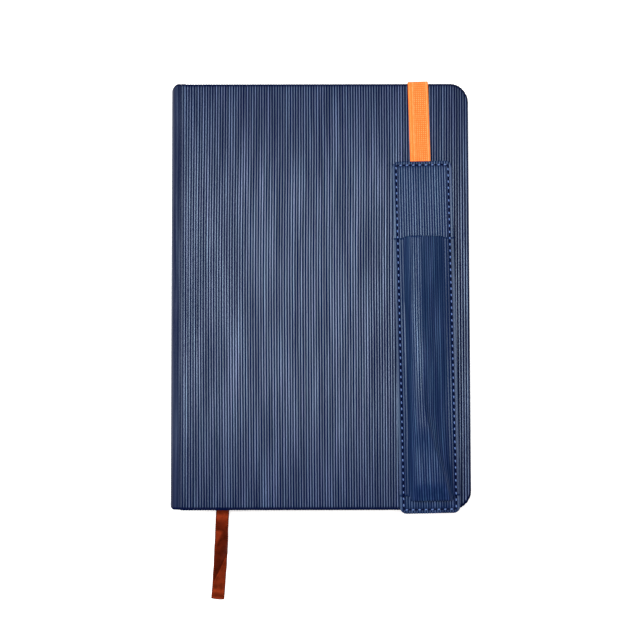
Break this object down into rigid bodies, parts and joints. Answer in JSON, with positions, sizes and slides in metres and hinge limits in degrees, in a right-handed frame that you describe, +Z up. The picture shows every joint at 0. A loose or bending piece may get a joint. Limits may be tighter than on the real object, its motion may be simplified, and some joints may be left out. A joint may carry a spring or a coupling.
{
  "type": "case-bound log notebook with pen sleeve",
  "caption": "Closed case-bound notebook with ribbed cover, turning leaf groups, ribbon marker and a stitched pen sleeve on an elastic band round its front cover.",
  "frame": {"origin": "middle of the back cover's outer face, on which the closed book lies", "axes": "+X towards the fore-edge, +Y towards the head, +Z up out of the front cover"},
  "size_m": [0.147, 0.256, 0.0265],
  "materials": {
    "cover_skin": "satin",
    "board": "matte",
    "endpaper": "matte",
    "pages": "matte",
    "mull": "matte",
    "lining_paper": "matte",
    "end_band": "satin",
    "thread": "matte",
    "ribbon": "satin",
    "elastic": "matte",
    "sleeve_skin": "satin",
    "sleeve_lining": "matte",
    "stitching": "matte"
  },
  "bodies": {
    "back_half": {"back_board": "board", "back_cover_skin": "cover_skin", "back_mull_flap": "mull", "back_pastedown": "endpaper", "back_flyleaf": "endpaper", "signature_5": "pages", "signature_6": "pages", "signature_7": "pages", "signature_8": "pages", "sewing_thread": "thread", "spine_mull": "mull", "spine_lining": "lining_paper", "headband": "end_band", "tailband": "end_band", "ribbon_marker": "ribbon", "ribbon_tail": "ribbon", "back_joint_skin": "cover_skin"},
    "spine": {"spine_board": "board", "spine_skin": "cover_skin", "front_joint_skin": "cover_skin"},
    "front_cover": {"front_board": "board", "front_cover_skin": "cover_skin", "front_mull_flap": "mull", "front_pastedown": "endpaper"},
    "flyleaf": {"front_flyleaf": "endpaper"},
    "leaves_1": {"signature_1": "pages"},
    "leaves_2": {"signature_2": "pages"},
    "leaves_3": {"signature_3": "pages"},
    "leaves_4": {"signature_4": "pages"},
    "pen_band": {"elastic_band": "elastic", "sleeve_lining": "sleeve_lining", "sleeve_back": "sleeve_skin", "sleeve_pocket": "sleeve_skin", "sleeve_stitching": "stitching"}
  },
  "joints": [
    {"name": "front_cover_hinge", "type": "hinge", "parent": "spine", "child": "front_cover", "pos_m": [-0.0724, 0, 0.01653], "axis": [0, -1, 0], "range_deg": [0, 87.5], "deforming": ["front_joint_skin"]},
    {"name": "spine_hinge", "type": "hinge", "parent": "back_half", "child": "spine", "pos_m": [-0.0724, 0, 0.0011], "axis": [0, -1, 0], "range_deg": [0, 87.5], "deforming": ["back_joint_skin"]},
    {"name": "flyleaf_turn", "type": "hinge", "parent": "back_half", "child": "flyleaf", "pos_m": [-0.0715, 0, 0.00834], "axis": [0, -1, 0], "range_deg": [0, 174.2]},
    {"name": "leaf_turn_1", "type": "hinge", "parent": "back_half", "child": "leaves_1", "pos_m": [-0.0715, 0, 0.00834], "axis": [0, -1, 0], "range_deg": [0, 174.2]},
    {"name": "leaf_turn_2", "type": "hinge", "parent": "back_half", "child": "leaves_2", "pos_m": [-0.0715, 0, 0.00834], "axis": [0, -1, 0], "range_deg": [0, 174.2]},
    {"name": "leaf_turn_3", "type": "hinge", "parent": "back_half", "child": "leaves_3", "pos_m": [-0.0715, 0, 0.00834], "axis": [0, -1, 0], "range_deg": [0, 174.2]},
    {"name": "leaf_turn_4", "type": "hinge", "parent": "back_half", "child": "leaves_4", "pos_m": [-0.0715, 0, 0.00834], "axis": [0, -1, 0], "range_deg": [0, 174.2], "deforming": ["sewing_thread", "spine_mull", "spine_lining", "headband", "tailband"]},
    {"name": "pen_band_slide", "type": "slide", "parent": "front_cover", "child": "pen_band", "axis": [1, 0, 0], "range_m": [0, 0.04]}
  ],
  "couplings": [
    {"joint": "spine_hinge", "follows": "front_cover_hinge", "ratio": 1},
    {"joint": "flyleaf_turn", "follows": "front_cover_hinge", "ratio": 1.99},
    {"joint": "leaf_turn_1", "follows": "front_cover_hinge", "ratio": 1.984},
    {"joint": "leaf_turn_2", "follows": "front_cover_hinge", "ratio": 1.978},
    {"joint": "leaf_turn_3", "follows": "front_cover_hinge", "ratio": 1.972},
    {"joint": "leaf_turn_4", "follows": "front_cover_hinge", "ratio": 1.966}
  ]
}
